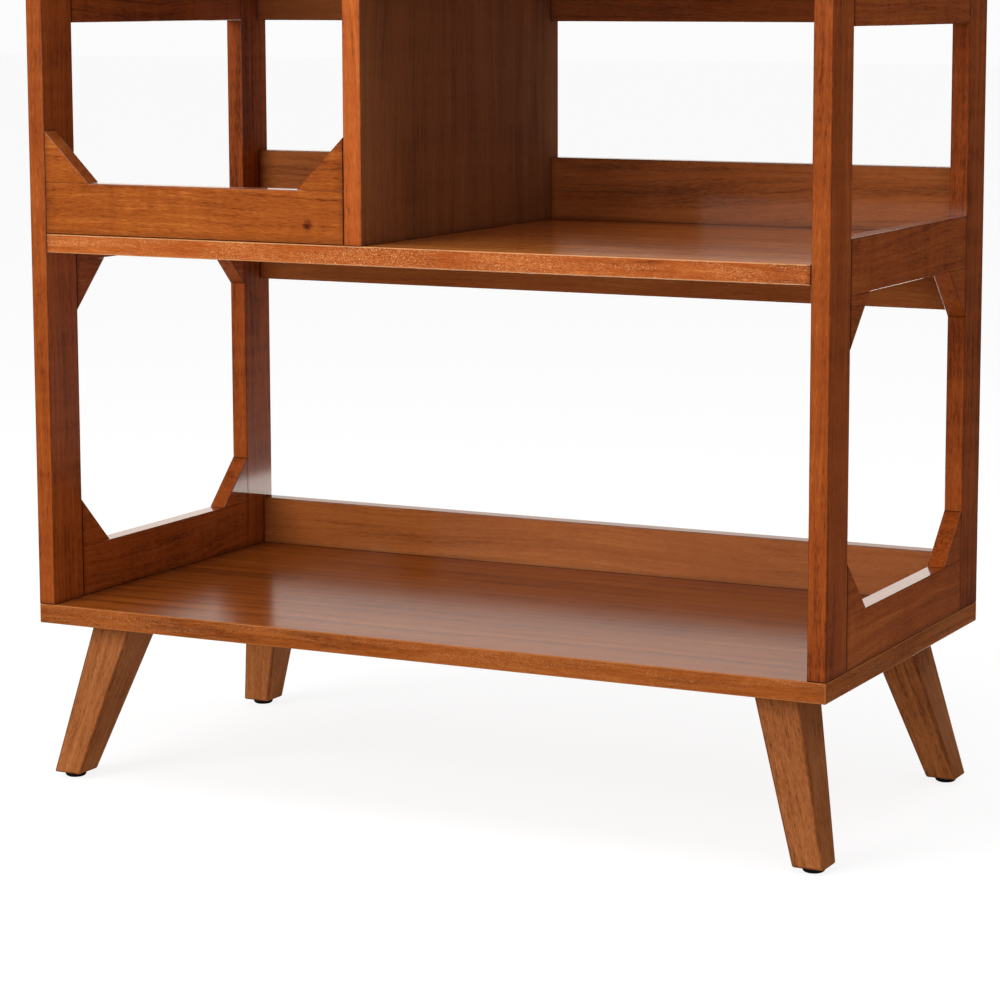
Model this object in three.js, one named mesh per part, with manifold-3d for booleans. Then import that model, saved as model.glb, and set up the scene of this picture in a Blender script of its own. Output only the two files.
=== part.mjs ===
// A record storage stand: two tenoned side frames with cut-away windows, full-width boards, a record bin
// behind a low sill, open bays beside it, and four splayed legs.
//
// Millimetres, +Z up. The origin is on the floor, under the middle of the footprint. The front faces -Y,
// and left and right are as seen from the front.

import * as THREE from "three";
import { mergeVertices } from "three/addons/utils/BufferGeometryUtils.js";
import Module from "manifold-3d";

// Overall size and the stock that the stand is cut from
const WIDTH = 830;
const DEPTH = 412;
const STOCK = 18; // frames, rails and shelves
const DECK = 19; // bottom and top boards, and the divider
const FIT = 0.3; // gap between pieces that touch
const EASE = 1.2; // rounding of the arrises

// Heights above the floor
const LEG_HEIGHT = 159;
const LOWER_BAY = 348; // clear height of the open bay
const UPPER_BAY = 377; // clear height; what stands 315 high can still be lifted over the sill
const CUBBY_SHELF_Z = 772.5;

// Side frames
const STILE = 50;
const RAIL = 50;
const MIDDLE_RAIL_DROP = 12.5; // how far the middle rail reaches below the shelf
const UPPER_RAIL_Z = 746.5;
const FRAME_BLOCK = 48; // leg of the triangular corner blocks
const FRAME_TENON = 12;
const TENON_SHOULDER = 8;

// Record bin and divider
const BIN_WIDTH = 332;
const SILL = 50;
const BIN_BLOCK = 50;

// Back rails
const LOW_BACK_RAIL = 50;
const RAIL_UNDER_SHELF = 57.5;
const RAIL_OVER_SHELF = 63.5;

// Joinery
const TENON = 6; // thickness of every tenon
const STUB = 6; // length of a stub tenon, and depth of a tongue in its groove
const TONGUE = 12; // thickness of the tongues under the frames and rails, flush with their inner faces
const TONGUE_STOP = 6; // how far tongues and grooves end short of the front and the back
const STILE_TENON = 10;
const STILE_TENON_HALF = 15;
const SHELF_TENON_HALF = 30;
const SHELF_TENON_Y = [-80, 80]; // where the cubby shelf has its stub tenons
const PAST = 1; // how far a cut runs past the face it opens, and a tenon back into its own piece

// Legs, measured inwards from the corner of the bottom board
const LEG_TOP = { x: [40.5, 84], y: [35, 91] };
const LEG_FOOT = { x: [4.5, 35], y: [11.5, 42.5] };
const LEG_EASE = 2;
const GLIDE_HEIGHT = 5.2;
const GLIDE_RADIUS = 10.5;
const NAIL_RADIUS = 1.3;
const NAIL_TIP = 25.5;

// Hanger bolts and their inserts
const BOLT = { x: 62, y: 63, radius: 4, from: 119, to: 171 };
const INSERT = { radius: 6, flange: 8.5, flangeHeight: 1.5, height: 13 };

// Cam fittings of the middle shelf
const CAM = { fromEdge: 27, reach: 34, radius: 7.3, height: 12.6, slotHalf: 3.6 };
const CAM_BOLT = { thread: 10, radius: 2.5, collar: 3.6, neck: 1.8, head: 3.2, bore: 4 };

// Worked out from the sizes above
const FLOOR_Z = LEG_HEIGHT + DECK;
const SHELF_Z = FLOOR_Z + LOWER_BAY;
const SHELF_TOP = SHELF_Z + STOCK;
const TOP_Z = SHELF_TOP + UPPER_BAY;
const HEIGHT = TOP_Z + DECK;
const SILL_TOP = SHELF_TOP + SILL;
const MIDDLE_RAIL_Z = SHELF_Z - MIDDLE_RAIL_DROP;
const RIGHT = WIDTH / 2;
const BACK = DEPTH / 2;
const INNER = RIGHT - STOCK; // the inner face of a side frame
const DIVIDER = [BIN_WIDTH - INNER, BIN_WIDTH - INNER + DECK];
const FRONT_RAIL_Y = [-BACK, -BACK + STOCK];
const BACK_RAIL_Y = [BACK - STOCK, BACK];
const WINDOW_Y = [-BACK + STILE, BACK - STILE]; // between the stiles

const MATERIALS = {
  frame: wood(0x743620, 0.34),
  board: wood(0x9a4f28, 0.26),
  leg: wood(0x96501f, 0.38),
  glide: new THREE.MeshStandardMaterial({ color: 0x15110f, roughness: 0.3, metalness: 0 }),
  zinc: new THREE.MeshStandardMaterial({ color: 0xb9bbbd, roughness: 0.35, metalness: 1 }),
  cam: new THREE.MeshStandardMaterial({ color: 0x9a9b9c, roughness: 0.45, metalness: 1 }),
};

function wood(color, roughness) {
  return new THREE.MeshStandardMaterial({ color, roughness, metalness: 0 });
}

// ---- Solids: every limit below is a pair, from and to, in the coordinates of the group that holds it ----

const wasm = await Module();
wasm.setup();

const widened = ([from, to], by) => [from - by, to + by];
const inset = ([from, to], by = FIT) => [from + by, to - by];
const around = (middle, half) => [middle - half, middle + half];
const middleOf = ([from, to]) => (from + to) / 2;
const ordered = (a, b) => [Math.min(a, b), Math.max(a, b)];

// A closed geometry as a solid that can be cut and joined.
function solid(geometry) {
  const bare = new THREE.BufferGeometry();
  bare.setAttribute("position", geometry.getAttribute("position"));
  bare.setIndex(geometry.index);
  const merged = mergeVertices(bare, 1e-4);
  return new wasm.Manifold(
    new wasm.Mesh({
      numProp: 3,
      vertProperties: merged.getAttribute("position").array,
      triVerts: new Uint32Array(merged.index.array),
    }),
  );
}

// Puts a solid in its group as a named mesh, whose own origin is the middle of the solid.
function place(group, name, body, material) {
  const mesh = body.getMesh();
  const geometry = new THREE.BufferGeometry();
  geometry.setAttribute("position", new THREE.BufferAttribute(mesh.vertProperties, 3));
  geometry.setIndex(new THREE.BufferAttribute(mesh.triVerts, 1));
  geometry.computeVertexNormals();
  geometry.computeBoundingBox();
  const centre = geometry.boundingBox.getCenter(new THREE.Vector3());
  geometry.translate(-centre.x, -centre.y, -centre.z);
  const piece = new THREE.Mesh(geometry, material);
  piece.name = name;
  piece.position.copy(centre);
  group.add(piece);
}

function cut(body, tools) {
  return tools.reduce((rest, tool) => rest.subtract(tool), body);
}

function join(body, others) {
  return others.reduce((whole, other) => whole.add(other), body);
}

// A plain block, for tenons, mortises and slots.
function block([x, y, z]) {
  const geometry = new THREE.BoxGeometry(x[1] - x[0], y[1] - y[0], z[1] - z[0]);
  geometry.translate(middleOf(x), middleOf(y), middleOf(z));
  return solid(geometry);
}

const mortise = (tenon) => block(tenon.map((limits) => widened(limits, FIT)));

function easedRectangle(width, height, radius) {
  const shape = new THREE.Shape();
  const right = width / 2 - radius;
  const top = height / 2 - radius;
  shape.absarc(right, top, radius, 0, Math.PI / 2);
  shape.absarc(-right, top, radius, Math.PI / 2, Math.PI);
  shape.absarc(-right, -top, radius, Math.PI, 1.5 * Math.PI);
  shape.absarc(right, -top, radius, 1.5 * Math.PI, 2 * Math.PI);
  return shape;
}

// Sawn and planed timber whose grain, and so its length, runs along one axis. Its long arrises are eased.
function timber(grain, x, y, z) {
  const limits = [x, y, z];
  const axis = "xyz".indexOf(grain);
  const [across, up] = [(axis + 1) % 3, (axis + 2) % 3];
  const size = limits.map(([from, to]) => to - from);
  const section = easedRectangle(size[across], size[up], EASE);
  const geometry = new THREE.ExtrudeGeometry(section, {
    depth: size[axis],
    bevelEnabled: false,
    curveSegments: 1,
  });
  geometry.translate(0, 0, -size[axis] / 2);
  const unit = (i) => new THREE.Vector3().setComponent(i, 1);
  geometry.applyMatrix4(new THREE.Matrix4().makeBasis(unit(across), unit(up), unit(axis)));
  geometry.translate(...limits.map(middleOf));
  return solid(geometry);
}

// A board that shows on all four sides, with every arris eased.
function slab(x, y, z) {
  const shape = new THREE.Shape();
  const [left, right] = inset(x, EASE);
  const [front, back] = inset(y, EASE);
  shape.moveTo(left, front);
  shape.lineTo(right, front);
  shape.lineTo(right, back);
  shape.lineTo(left, back);
  const geometry = new THREE.ExtrudeGeometry(shape, {
    depth: z[1] - z[0] - 2 * EASE,
    bevelThickness: EASE,
    bevelSize: EASE,
    bevelSegments: 2,
  });
  geometry.translate(0, 0, z[0] + EASE);
  return solid(geometry);
}

// A turned piece from its profile of [radius, place along the axis], standing along Z or lying along X.
function turned(profile, { x = 0, y = 0, z = 0, along = "z", sides = 16 } = {}) {
  const points = profile.map(([radius, place]) => new THREE.Vector2(radius, place));
  const geometry = new THREE.LatheGeometry(points, sides);
  if (along === "z") geometry.rotateX(Math.PI / 2);
  else geometry.rotateZ(-Math.PI / 2);
  geometry.translate(x, y, z);
  return solid(geometry);
}

function cylinder(radius, [from, to], placing) {
  return turned([[0, from], [radius, from], [radius, to], [0, to]], placing);
}

// A right-angled block that fills the corner of a window. `corner` is where its two straight edges meet,
// and the directions say which way they run. It is extruded through the thickness of its frame.
function cornerBlock(leg, corner, [acrossWay, upWay], thickness, plane) {
  const [across, up] = [corner[0] + acrossWay * FIT, corner[1] + upWay * FIT];
  const points = [
    new THREE.Vector2(across, up),
    new THREE.Vector2(corner[0] + acrossWay * leg, up),
    new THREE.Vector2(across, corner[1] + upWay * leg),
  ];
  if (THREE.ShapeUtils.isClockWise(points)) points.reverse();
  const geometry = new THREE.ExtrudeGeometry(new THREE.Shape(points), {
    depth: thickness[1] - thickness[0],
    bevelEnabled: false,
  });
  if (plane === "yz") {
    geometry.translate(0, 0, thickness[0]);
    const [yAxis, zAxis, xAxis] = [[0, 1, 0], [0, 0, 1], [1, 0, 0]].map((v) => new THREE.Vector3(...v));
    geometry.applyMatrix4(new THREE.Matrix4().makeBasis(yAxis, zAxis, xAxis));
  } else {
    geometry.translate(0, 0, -thickness[1]);
    geometry.rotateX(Math.PI / 2);
  }
  return solid(geometry);
}

// ---- Joints that two pieces share: the tenon is added to one piece, its mortise cut from the other ----

// The tenons on the ends of a side frame's rail.
function frameTenons(z) {
  return WINDOW_Y.map((shoulder, i) => {
    const outwards = i === 0 ? -1 : 1;
    const reach = ordered(shoulder - outwards * PAST, shoulder + outwards * FRAME_TENON);
    return [around(STOCK / 2, TENON / 2), reach, inset(z, TENON_SHOULDER)];
  });
}

// The tenon on a stile's upper end, which sits in the top board.
function stileTenon(stileY) {
  const y = around(middleOf(stileY), STILE_TENON_HALF);
  return [around(STOCK / 2, TENON / 2), y, [TOP_Z - PAST, TOP_Z + STILE_TENON]];
}

// Tongues and their grooves stop short of the front and the back, where they would show.
const stopped = ([from, to]) => [Math.max(from, TONGUE_STOP - BACK), Math.min(to, BACK - TONGUE_STOP)];

// A tongue starts above the eased arris of its own piece.
const tongueReach = (surface) => [surface - STUB, surface + EASE + PAST];

// The tongue under a stile or bottom rail. One groove in the bottom board takes all three of a side frame.
const frameTongue = (y) => [[STOCK - TONGUE, STOCK], stopped(y), tongueReach(FLOOR_Z)];

// The tongue under a back rail that stands on a board, and under the sill.
const backTongue = (x, surface) => [x, stopped([BACK_RAIL_Y[0], BACK]), tongueReach(surface)];
const sillTongue = (x) => [x, stopped([-BACK, FRONT_RAIL_Y[1]]), tongueReach(SHELF_TOP)];

// How far a stub tenon reaches along its axis; `way` is +1 at a piece's right or upper end.
const stubReach = (shoulder, way) => ordered(shoulder - way * PAST, shoulder + way * STUB);

// The stub tenon on the end of a rail that runs along X.
function railTenon(shoulder, way, y, z) {
  return [stubReach(shoulder, way), around(middleOf(y), TENON / 2), inset(z, TENON_SHOULDER)];
}

// The two stub tenons on an end of the cubby shelf.
function shelfTenons(shoulder, way, z) {
  const thickness = around(middleOf(z), TENON / 2);
  return SHELF_TENON_Y.map((y) => [stubReach(shoulder, way), around(y, SHELF_TENON_HALF), thickness]);
}

// The divider's ends stand in stopped housings of its own thickness.
const dividerEnd = (shoulder, way) => [DIVIDER, stopped([-BACK, BACK]), stubReach(shoulder, way)];

// The same limits in the stand's coordinates and in those of the left or right side frame's group.
const toFrame = (side, [x, y, z]) => [ordered(RIGHT - side * x[0], RIGHT - side * x[1]), y, z];
const fromFrame = (side, [x, y, z]) => [ordered(side * (RIGHT - x[0]), side * (RIGHT - x[1])), y, z];

// ---- Limits of the pieces that others join to ----

const CUBBY_SHELF = [CUBBY_SHELF_Z, CUBBY_SHELF_Z + STOCK];
const SILL_Z = [SHELF_TOP + FIT, SILL_TOP];
const BIN_X = [-INNER, DIVIDER[0]];
const BAY_X = [DIVIDER[1], INNER];
const FULL_X = [-INNER, INNER];
const OVER_SHELF_Z = [SHELF_TOP + FIT, SHELF_TOP + RAIL_OVER_SHELF];
const UPPER_BACK_Z = [UPPER_RAIL_Z, UPPER_RAIL_Z + RAIL_OVER_SHELF];

// `on` is the height of the board that a back rail stands on.
const BACK_RAILS = [
  { name: "back_rail_bottom", x: FULL_X, z: [FLOOR_Z + FIT, FLOOR_Z + LOW_BACK_RAIL], on: FLOOR_Z },
  { name: "back_rail_under_shelf", x: FULL_X, z: [SHELF_Z - RAIL_UNDER_SHELF, SHELF_Z - FIT] },
  { name: "back_rail_bin", x: BIN_X, z: OVER_SHELF_Z, on: SHELF_TOP },
  { name: "back_rail_bay", x: BAY_X, z: OVER_SHELF_Z, on: SHELF_TOP },
  { name: "upper_back_rail_bin", x: BIN_X, z: UPPER_BACK_Z },
  { name: "upper_back_rail_bay", x: BAY_X, z: UPPER_BACK_Z },
];

// The two end tenons of a rail that runs along X.
const railTenons = ({ x, z }, y) => [railTenon(x[0], -1, y, z), railTenon(x[1], 1, y, z)];

const backTenons = BACK_RAILS.map((rail) => railTenons(rail, BACK_RAIL_Y));
const sillTenons = railTenons({ x: BIN_X, z: SILL_Z }, FRONT_RAIL_Y);
const cubbyTenons = [shelfTenons(BAY_X[0], -1, CUBBY_SHELF), shelfTenons(BAY_X[1], 1, CUBBY_SHELF)];

const FRAME_STILES = {
  front: [-BACK, -BACK + STILE],
  rear: [BACK - STILE, BACK],
};

const FRAME_RAILS = {
  bottom: [FLOOR_Z + FIT, FLOOR_Z + RAIL],
  middle: [MIDDLE_RAIL_Z, MIDDLE_RAIL_Z + RAIL],
  upper: [UPPER_RAIL_Z, TOP_Z - FIT],
};

const CAM_Y = [-BACK + CAM.fromEdge, BACK - CAM.fromEdge];
const CAM_AXIS_Z = SHELF_Z + STOCK / 2;

const stand = new THREE.Group();

// ---- Side frames: x runs inwards from the outer face, so one description serves both sides ----

function sideFrame(label, side) {
  const frame = new THREE.Group();
  frame.position.x = side * RIGHT;
  frame.scale.x = -side;
  stand.add(frame);

  // The back rails, and on the left the sill, have stub tenons in this frame's inner face.
  const meets = ([x]) => (side > 0 ? x[1] > INNER : x[0] < -INNER);
  const stubs = [...backTenons.flat(), ...sillTenons].filter(meets).map((tenon) => toFrame(side, tenon));
  const cubbyStubs = cubbyTenons.flat().filter(meets).map((tenon) => toFrame(side, tenon));
  const camBores = CAM_Y.map((y) =>
    cylinder(CAM_BOLT.radius + FIT, [STOCK - CAM_BOLT.thread - FIT, STOCK + PAST], {
      y,
      z: CAM_AXIS_Z,
      along: "x",
    }),
  );
  const sockets = [
    ...Object.values(FRAME_RAILS).flatMap(frameTenons).map(mortise),
    ...stubs.map(mortise),
    ...camBores,
  ];

  for (const [end, y] of Object.entries(FRAME_STILES)) {
    const bar = timber("z", [0, STOCK], y, [FLOOR_Z + FIT, TOP_Z - FIT]);
    const body = cut(join(bar, [frameTongue(y), stileTenon(y)].map(block)), sockets);
    place(frame, `${label}_${end}_stile`, body, MATERIALS.frame);
  }
  for (const [level, z] of Object.entries(FRAME_RAILS)) {
    const bar = timber("y", [0, STOCK], inset(WINDOW_Y), z);
    const tongues = level === "bottom" ? [frameTongue(inset(WINDOW_Y))] : [];
    const body = join(bar, [...frameTenons(z), ...tongues].map(block));
    place(frame, `${label}_${level}_rail`, cut(body, cubbyStubs.map(mortise)), MATERIALS.frame);
  }
  for (const [i, depthwise] of ["front", "rear"].entries()) {
    const inwards = i === 0 ? 1 : -1;
    for (const [height, z, upWay] of [["low", FLOOR_Z + RAIL, 1], ["high", MIDDLE_RAIL_Z, -1]]) {
      const body = cornerBlock(FRAME_BLOCK, [WINDOW_Y[i], z], [inwards, upWay], [0, STOCK], "yz");
      place(frame, `${label}_block_${depthwise}_${height}`, body, MATERIALS.frame);
    }
  }
  for (const [i, y] of CAM_Y.entries()) {
    const end = i === 0 ? "front" : "rear";
    place(frame, `${label}_cam_bolt_${end}`, camBolt(y), MATERIALS.zinc);
    place(frame, `${label}_cam_lock_${end}`, camLock(y), MATERIALS.cam);
  }
}

// A cam bolt lies along X: its thread is in the stile, its collar on the shelf's end, its head in the cam.
function camBolt(y) {
  const { thread, radius, collar, neck, head } = CAM_BOLT;
  const face = STOCK + FIT;
  const tip = STOCK + CAM.reach;
  const profile = [
    [0, STOCK - thread],
    [radius - 0.8, STOCK - thread],
    [radius, STOCK - thread + 1],
    [radius, face],
    [collar, face],
    [collar, face + 1.7],
    [radius, face + 1.7],
    [radius, tip - 6],
    [neck, tip - 6],
    [neck, tip - 3],
    [head, tip - 2.4],
    [head, tip - 0.8],
    [head - 0.8, tip],
    [0, tip],
  ];
  return turned(profile, { y, z: CAM_AXIS_Z, along: "x", sides: 12 });
}

// A cam lock is a short drum in the shelf's underside, notched for the bolt's head and cross-slotted below.
function camLock(y) {
  const x = STOCK + CAM.reach;
  const z = [SHELF_Z + FIT, SHELF_Z + FIT + CAM.height];
  const drum = cylinder(CAM.radius, z, { x, y, sides: 20 });
  const notch = block([
    [x - CAM.radius - PAST, x + PAST],
    around(y, CAM.slotHalf),
    [CAM_AXIS_Z - CAM.slotHalf, z[1] + PAST],
  ]);
  const slotZ = [z[0] - PAST, z[0] + 2];
  const crossSlot = [
    block([around(x, 4), around(y, 0.7), slotZ]),
    block([around(x, 0.7), around(y, 4), slotZ]),
  ];
  return cut(drum, [notch, ...crossSlot]);
}

sideFrame("left", -1);
sideFrame("right", 1);

// ---- Full-width boards ----

// What the side frames and the rails need cut in the boards that they stand on or carry.
const SIDES = [-1, 1];
const frameGrooves = SIDES.map((side) => fromFrame(side, frameTongue([-BACK, BACK])));
const stileMortises = SIDES.flatMap((side) =>
  Object.values(FRAME_STILES).map((y) => fromFrame(side, stileTenon(y))),
);
const railGrooves = (surface) =>
  BACK_RAILS.filter(({ on }) => on === surface).map(({ x }) => backTongue(x, surface));

const CORNERS = [
  { label: "front_left", side: -1, end: -1 },
  { label: "front_right", side: 1, end: -1 },
  { label: "rear_left", side: -1, end: 1 },
  { label: "rear_right", side: 1, end: 1 },
];

// The bottom board carries an insert for each leg's bolt in its underside.
function bottomBoard() {
  const pockets = CORNERS.flatMap(({ side, end }) => {
    const placing = { x: side * (RIGHT - BOLT.x), y: end * (BACK - BOLT.y) };
    const pocket = (radius, height) =>
      cylinder(radius + FIT, [LEG_HEIGHT - PAST, LEG_HEIGHT + height + 2 * FIT], placing);
    return [pocket(INSERT.radius, INSERT.height), pocket(INSERT.flange, INSERT.flangeHeight)];
  });
  const grooves = [...frameGrooves, ...railGrooves(FLOOR_Z)].map(mortise);
  return cut(slab([-RIGHT, RIGHT], [-BACK, BACK], [LEG_HEIGHT, FLOOR_Z]), [...grooves, ...pockets]);
}

function middleShelf() {
  const board = timber("x", inset(FULL_X), [-BACK, BACK], [SHELF_Z, SHELF_TOP]);
  const camHoles = SIDES.flatMap((side) =>
    CAM_Y.flatMap((y) => {
      const x = side * (INNER - CAM.reach);
      return [
        cylinder(CAM.radius + FIT, [SHELF_Z - PAST, SHELF_Z + CAM.height + 2 * FIT], { x, y, sides: 20 }),
        cylinder(CAM_BOLT.bore, ordered(x, side * (INNER + PAST)), { y, z: CAM_AXIS_Z, along: "x" }),
      ];
    }),
  );
  const grooves = [dividerEnd(SHELF_TOP, -1), sillTongue(BIN_X), ...railGrooves(SHELF_TOP)];
  return cut(board, [...camHoles, ...grooves.map(mortise)]);
}

function topBoard() {
  const board = slab([-RIGHT, RIGHT], [-BACK, BACK], [TOP_Z, HEIGHT]);
  return cut(board, [...stileMortises, dividerEnd(TOP_Z, 1)].map(mortise));
}

place(stand, "bottom_board", bottomBoard(), MATERIALS.board);
place(stand, "middle_shelf", middleShelf(), MATERIALS.board);
place(stand, "top_board", topBoard(), MATERIALS.board);

// ---- Divider and cubby shelf ----

function divider() {
  const board = timber("z", DIVIDER, [-BACK, BACK], [SHELF_TOP + FIT, TOP_Z - FIT]);
  const ends = [dividerEnd(SHELF_TOP, -1), dividerEnd(TOP_Z, 1)].map(block);
  const meets = ([x]) => x[0] < DIVIDER[1] && x[1] > DIVIDER[0];
  const stubs = [...backTenons.flat(), ...sillTenons, ...cubbyTenons.flat()].filter(meets);
  return cut(join(board, ends), stubs.map(mortise));
}

function cubbyShelf() {
  const board = timber("x", inset(BAY_X), [-BACK, BACK_RAIL_Y[0] - FIT], CUBBY_SHELF);
  return join(board, cubbyTenons.flat().map(block));
}

place(stand, "centre_divider", divider(), MATERIALS.frame);
place(stand, "cubby_shelf", cubbyShelf(), MATERIALS.board);

// ---- Back rails, and the front of the record bin ----

BACK_RAILS.forEach((rail, i) => {
  const bar = timber("x", inset(rail.x), BACK_RAIL_Y, rail.z);
  const tongues = rail.on ? [backTongue(inset(rail.x), rail.on)] : [];
  place(stand, rail.name, join(bar, [...backTenons[i], ...tongues].map(block)), MATERIALS.frame);
});

const sill = timber("x", inset(BIN_X), FRONT_RAIL_Y, SILL_Z);
const sillJoints = [...sillTenons, sillTongue(inset(BIN_X))].map(block);
place(stand, "bin_sill", join(sill, sillJoints), MATERIALS.board);

for (const [height, z, upWay] of [["low", SILL_TOP, 1], ["high", TOP_Z, -1]]) {
  for (const [i, edge] of ["left", "right"].entries()) {
    const inwards = i === 0 ? 1 : -1;
    const body = cornerBlock(BIN_BLOCK, [BIN_X[i], z], [inwards, upWay], FRONT_RAIL_Y, "xz");
    place(stand, `bin_block_${edge}_${height}`, body, MATERIALS.board);
  }
}

// ---- Legs: x and y run inwards from the corner of the bottom board, so each group mirrors the first ----

// The leg tapers from its top to its foot and leans outwards both ways. Its long edges are eased.
function leg() {
  const ring = ({ x, y }, z) => {
    const outline = easedRectangle(x[1] - x[0], y[1] - y[0], LEG_EASE).getPoints(1);
    if (outline[0].distanceTo(outline.at(-1)) < 1e-6) outline.pop();
    return outline.map((point) => [point.x + middleOf(x), point.y + middleOf(y), z]);
  };
  const foot = ring(LEG_FOOT, GLIDE_HEIGHT + FIT);
  const top = ring(LEG_TOP, LEG_HEIGHT - FIT);
  const count = foot.length;
  const faces = [];
  for (let i = 0; i < count; i += 1) {
    const next = (i + 1) % count;
    faces.push(i, next, count + next, i, count + next, count + i);
  }
  for (let i = 1; i < count - 1; i += 1) {
    faces.push(0, i + 1, i);
    faces.push(count, count + i, count + i + 1);
  }
  const geometry = new THREE.BufferGeometry();
  geometry.setAttribute("position", new THREE.Float32BufferAttribute([...foot, ...top].flat(), 3));
  geometry.setIndex(faces);
  const footMiddle = { x: middleOf(LEG_FOOT.x), y: middleOf(LEG_FOOT.y) };
  return cut(solid(geometry), [
    cylinder(BOLT.radius + FIT, [BOLT.from - PAST, LEG_HEIGHT + PAST], { x: BOLT.x, y: BOLT.y }),
    cylinder(NAIL_RADIUS + FIT, [0, NAIL_TIP + PAST], { ...footMiddle, sides: 10 }),
  ]);
}

// A nail-on glide: a domed button on the foot, and the nail that holds it.
function glide() {
  const profile = [
    [0, 0],
    [GLIDE_RADIUS - 3.4, 0],
    [GLIDE_RADIUS - 1.5, 0.6],
    [GLIDE_RADIUS - 0.4, 1.7],
    [GLIDE_RADIUS, 3],
    [GLIDE_RADIUS, GLIDE_HEIGHT - 0.8],
    [GLIDE_RADIUS - 0.6, GLIDE_HEIGHT],
    [NAIL_RADIUS, GLIDE_HEIGHT],
    [NAIL_RADIUS, NAIL_TIP - 3],
    [0, NAIL_TIP],
  ];
  return turned(profile, { x: middleOf(LEG_FOOT.x), y: middleOf(LEG_FOOT.y), sides: 24 });
}

// A hanger bolt: wood screw below, in the leg, and machine thread above, in the board's insert.
function hangerBolt() {
  const { x, y, radius, from, to } = BOLT;
  const profile = [[0, from], [radius, from + 7], [radius, to - 1], [radius - 1, to], [0, to]];
  return turned(profile, { x, y });
}

function insertNut() {
  const hole = BOLT.radius + FIT;
  const [low, high] = [LEG_HEIGHT + FIT, LEG_HEIGHT + FIT + INSERT.height];
  const profile = [
    [hole, low],
    [INSERT.flange, low],
    [INSERT.flange, low + INSERT.flangeHeight],
    [INSERT.radius, low + INSERT.flangeHeight],
    [INSERT.radius, high],
    [hole, high],
    [hole, low],
  ];
  return turned(profile, { x: BOLT.x, y: BOLT.y });
}

for (const { label, side, end } of CORNERS) {
  const corner = new THREE.Group();
  corner.position.set(side * RIGHT, end * BACK, 0);
  corner.scale.set(-side, -end, 1);
  stand.add(corner);
  place(corner, `leg_${label}`, leg(), MATERIALS.leg);
  place(corner, `glide_${label}`, glide(), MATERIALS.glide);
  place(corner, `hanger_bolt_${label}`, hangerBolt(), MATERIALS.zinc);
  place(corner, `insert_nut_${label}`, insertNut(), MATERIALS.zinc);
}

export default stand;
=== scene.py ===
"""A storage stand in stained wood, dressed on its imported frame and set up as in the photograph.

Metres, +Z up. The origin is on the floor under the middle of the stand, and the front faces -Y. Left and
right are as seen from the front. The sections follow the stand as it is put together: boards and frames from
the bottom up, then the back rails, the legs with their glides, and the fittings. The floor, the light and the
camera come last.
"""

import math
import random

import bmesh
import bpy
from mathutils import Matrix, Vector


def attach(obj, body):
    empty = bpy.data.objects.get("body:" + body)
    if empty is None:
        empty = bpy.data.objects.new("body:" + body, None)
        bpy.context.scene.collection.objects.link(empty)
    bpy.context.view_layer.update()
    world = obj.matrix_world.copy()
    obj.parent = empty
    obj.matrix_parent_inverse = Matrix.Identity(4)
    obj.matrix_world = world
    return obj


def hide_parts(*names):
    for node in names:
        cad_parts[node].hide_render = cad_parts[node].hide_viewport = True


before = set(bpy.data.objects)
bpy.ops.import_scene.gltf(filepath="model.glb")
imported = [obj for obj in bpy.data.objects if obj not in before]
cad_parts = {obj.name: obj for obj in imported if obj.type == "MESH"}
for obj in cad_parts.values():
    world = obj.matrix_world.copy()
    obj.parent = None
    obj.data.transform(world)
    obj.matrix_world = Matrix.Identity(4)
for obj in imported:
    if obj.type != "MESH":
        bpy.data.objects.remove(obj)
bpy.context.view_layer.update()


# ---- Bottom board ----
# A veneered panel with solid lippings round its four edges, every arris eased with fine paper and lacquered
# to a gloss. It lies on the legs, and both side frames stand on it in stopped grooves.

ALONG = {"x": Vector((1, 0, 0)), "y": Vector((0, 1, 0)), "z": Vector((0, 0, 1))}
FAR = 9  # farther off than any part of the stand
SIDEWAYS = 0.7  # the cosine that parts a board's edges from its two faces
ARRIS_STEPS = 4  # faces across a rounded edge
LOG_SPAN = 8  # how far from the middle of the log a piece is cut


def middle_of(limits):
    return sum(limits) / 2


def length_of(limits):
    return limits[1] - limits[0]


def every(corners):
    return True


def add_block(name, x, y, z):
    """A block between these limits, with its place in its mesh, as the start of a piece."""
    bpy.ops.object.select_all(action="DESELECT")
    bpy.ops.mesh.primitive_cube_add(
        size=1,
        calc_uvs=False,
        location=[middle_of(limits) for limits in (x, y, z)],
        scale=[length_of(limits) for limits in (x, y, z)],
    )
    piece = bpy.context.object
    piece.name = name
    piece.data.name = name
    bpy.ops.object.transform_apply(location=True, rotation=True, scale=True)
    piece.data.attributes.new("arris", "FLOAT", "FACE")
    return piece


def select(kind, piece, chosen):
    """Selects, in edit mode, the edges or faces of the piece that `chosen` picks by their corners."""
    bpy.context.view_layer.objects.active = piece
    bpy.ops.object.mode_set(mode="EDIT")
    bpy.ops.mesh.select_mode(type=kind)
    bpy.ops.mesh.select_all(action="DESELECT")
    mesh = bmesh.from_edit_mesh(piece.data)
    for part in mesh.edges if kind == "EDGE" else mesh.faces:
        part.select_set(chosen([corner.co for corner in part.verts]))
    mesh.select_flush_mode()
    bmesh.update_edit_mesh(piece.data)


def ease(piece, radius, chosen):
    """Rounds the chosen edges and marks the narrow new faces as arris."""
    select("EDGE", piece, chosen)
    bpy.ops.mesh.bevel(offset=radius, segments=ARRIS_STEPS, affect="EDGES")
    bpy.ops.object.mode_set(mode="OBJECT")
    mesh = piece.data
    for face, arris in zip(mesh.polygons, mesh.attributes["arris"].data):
        ends = [[mesh.vertices[end].co for end in pair] for pair in face.edge_keys]
        longest = max((first - second).length for first, second in ends)
        if face.select and face.area < radius * longest:
            arris.value = 1


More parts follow.
